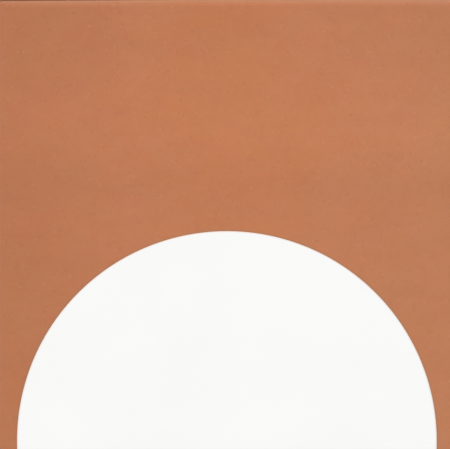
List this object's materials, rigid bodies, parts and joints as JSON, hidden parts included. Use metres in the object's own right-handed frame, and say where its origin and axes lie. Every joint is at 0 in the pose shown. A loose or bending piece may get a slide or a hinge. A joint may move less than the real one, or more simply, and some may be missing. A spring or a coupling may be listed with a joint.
{
  "type": "decorative tile",
  "caption": "Square terracotta wall or floor tile with softly rolled edges, a half round of white glaze standing on its lower edge, and a grooved back for bedding in adhesive.",
  "frame": {"origin": "middle of the tile's back, on the plane that is bedded", "axes": "+Z out of the decorated face; +Y towards the plain half of the tile, so that the half round stands on the edge at -Y; +X to the right, seen from the face with +Y up"},
  "size_m": [0.2, 0.2, 0.0143],
  "materials": {
    "terracotta": "unglazed fired clay, matt, smooth pressed face",
    "white_glaze": "opaque white glaze, satin, fired on to the half-round field"
  },
  "bodies": {
    "root": {"tile": "terracotta"}
  },
  "joints": []
}
